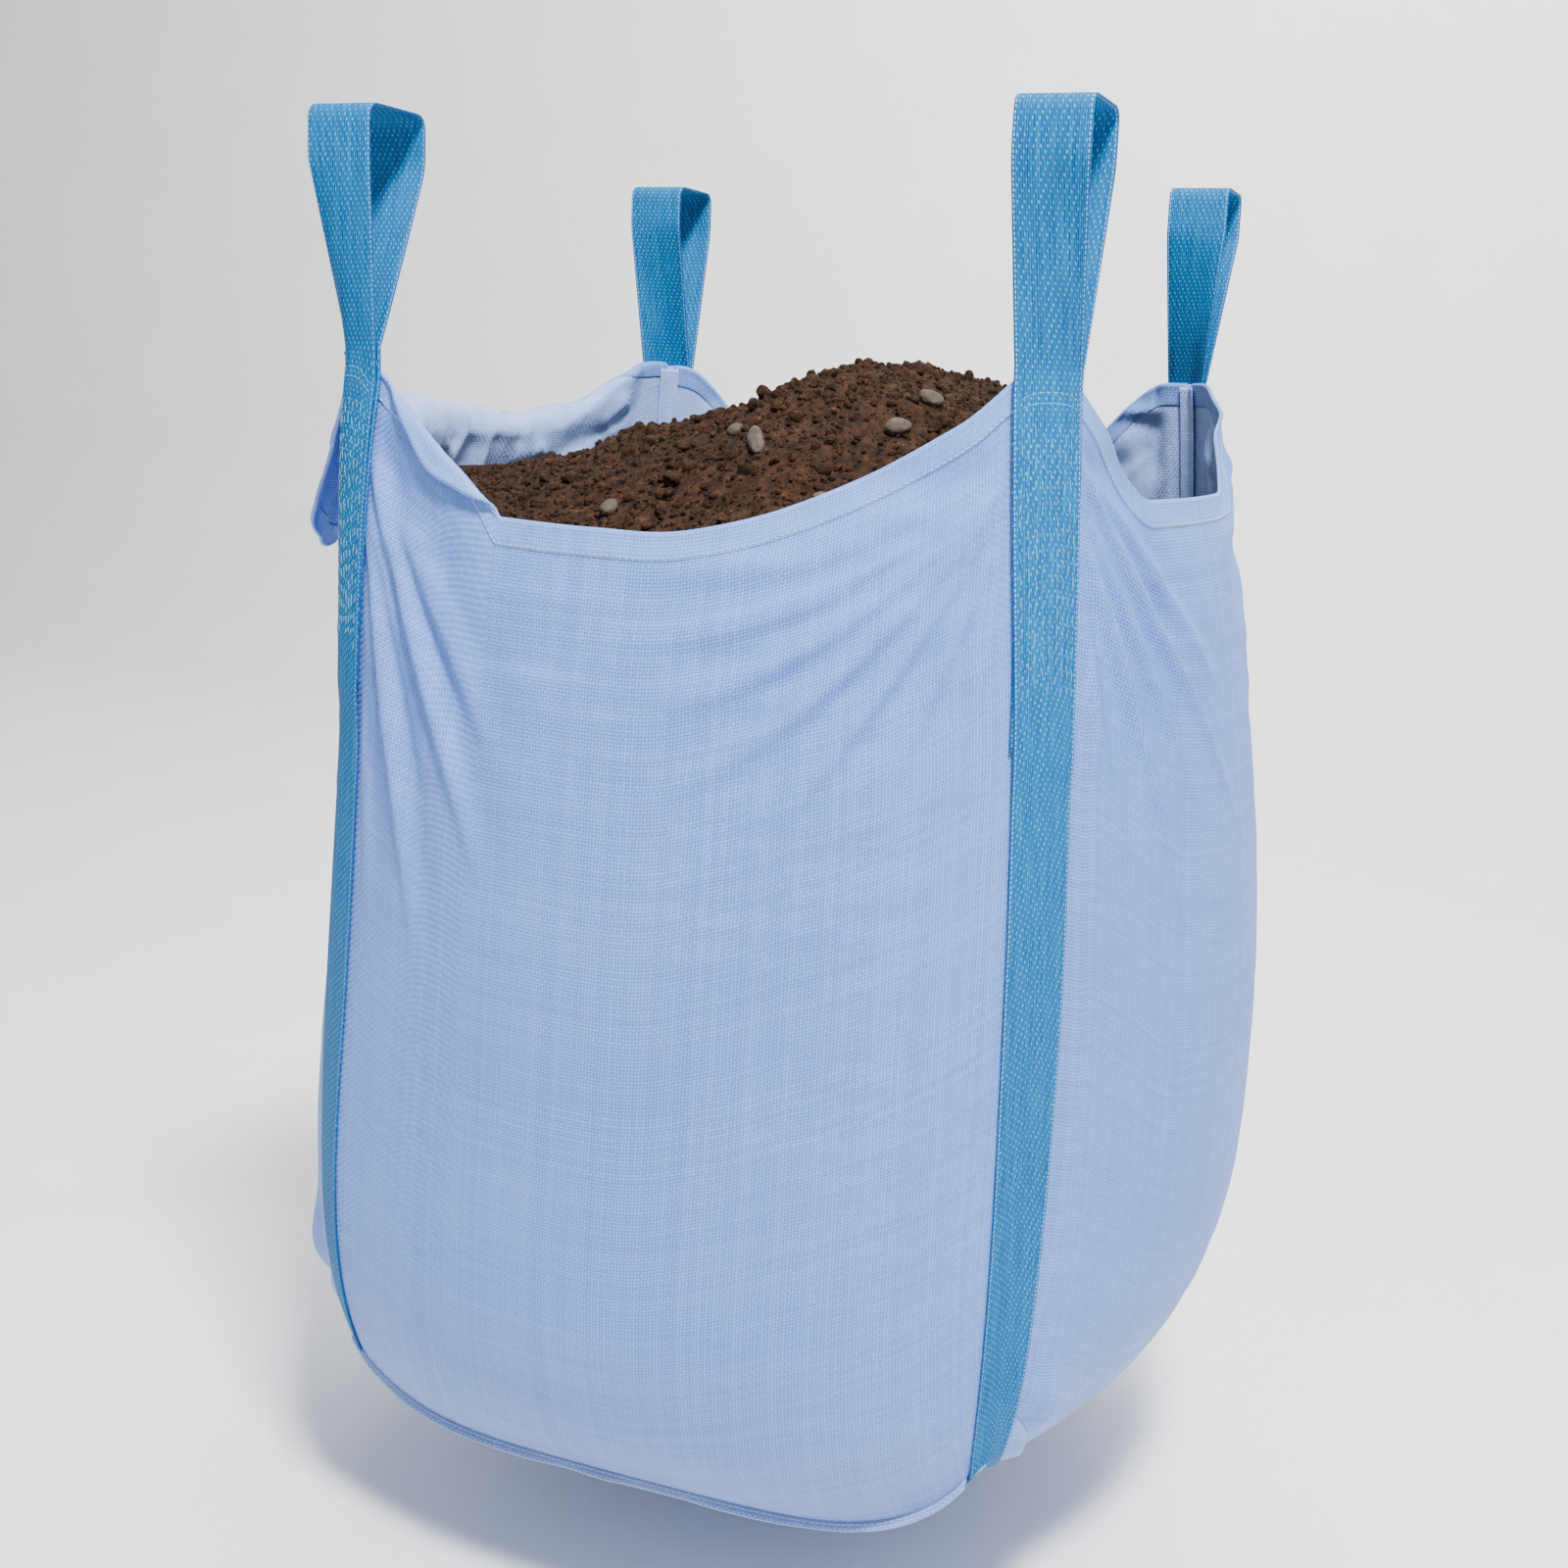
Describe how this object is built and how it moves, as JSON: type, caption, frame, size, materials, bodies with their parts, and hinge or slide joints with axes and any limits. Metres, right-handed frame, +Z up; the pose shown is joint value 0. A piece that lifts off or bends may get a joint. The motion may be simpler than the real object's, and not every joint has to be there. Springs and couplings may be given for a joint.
{
  "type": "bulk bag",
  "caption": "Soil-filled woven bulk bag hung by webbing loops over forks: bulging side panels, sagging open mouth, corner straps, hems, seams and a heaped fill.",
  "frame": {"origin": "centre of the four loop seats, at the height of the fork tops", "axes": "+X along the forks, +Y across them, from the front panel to the back panel, +Z up"},
  "size_m": [1.0546, 1.055, 1.4335],
  "materials": {
    "panel_cloth": "woven polypropylene, coated inside, satin",
    "hem_cloth": "doubled woven polypropylene, satin",
    "webbing": "woven polypropylene webbing, semi-matt",
    "thread": "polyester thread, semi-matt",
    "soil": "moist crumbly soil, matt",
    "stone": "dusty pebbles, matt"
  },
  "bodies": {
    "bag": {"front_panel": "panel_cloth", "back_panel": "panel_cloth", "u_panel": "panel_cloth", "hem_front": "hem_cloth", "hem_back": "hem_cloth", "hem_left": "hem_cloth", "hem_right": "hem_cloth", "bottom_seam_front": "hem_cloth", "bottom_seam_back": "hem_cloth", "strap_front_left": "webbing", "strap_tail_front_left": "webbing", "strap_stitching_front_left": "thread", "corner_ear_front_left": "hem_cloth", "strap_front_right": "webbing", "strap_tail_front_right": "webbing", "strap_stitching_front_right": "thread", "corner_ear_front_right": "hem_cloth", "strap_back_left": "webbing", "strap_tail_back_left": "webbing", "strap_stitching_back_left": "thread", "corner_ear_back_left": "hem_cloth", "strap_back_right": "webbing", "strap_tail_back_right": "webbing", "strap_stitching_back_right": "thread", "corner_ear_back_right": "hem_cloth", "hem_stitching": "thread", "soil_fill": "soil", "surface_stones": "stone"},
    "loop_front_left": {"lift_loop_front_left": "webbing"},
    "loop_front_right": {"lift_loop_front_right": "webbing"},
    "loop_back_left": {"lift_loop_back_left": "webbing"},
    "loop_back_right": {"lift_loop_back_right": "webbing"}
  },
  "joints": [
    {"name": "loop_fold_front_left", "type": "hinge", "parent": "bag", "child": "loop_front_left", "pos_m": [-0.3541, -0.3721, -0.238], "axis": [0.7071, -0.7071, 0], "range_deg": [-75, 135]},
    {"name": "loop_fold_front_right", "type": "hinge", "parent": "bag", "child": "loop_front_right", "pos_m": [0.3541, -0.3721, -0.238], "axis": [0.7071, 0.7071, 0], "range_deg": [-75, 135]},
    {"name": "loop_fold_back_left", "type": "hinge", "parent": "bag", "child": "loop_back_left", "pos_m": [-0.3541, 0.3721, -0.238], "axis": [-0.7071, -0.7071, 0], "range_deg": [-75, 135]},
    {"name": "loop_fold_back_right", "type": "hinge", "parent": "bag", "child": "loop_back_right", "pos_m": [0.3541, 0.3721, -0.238], "axis": [-0.7071, 0.7071, 0], "range_deg": [-75, 135]}
  ]
}
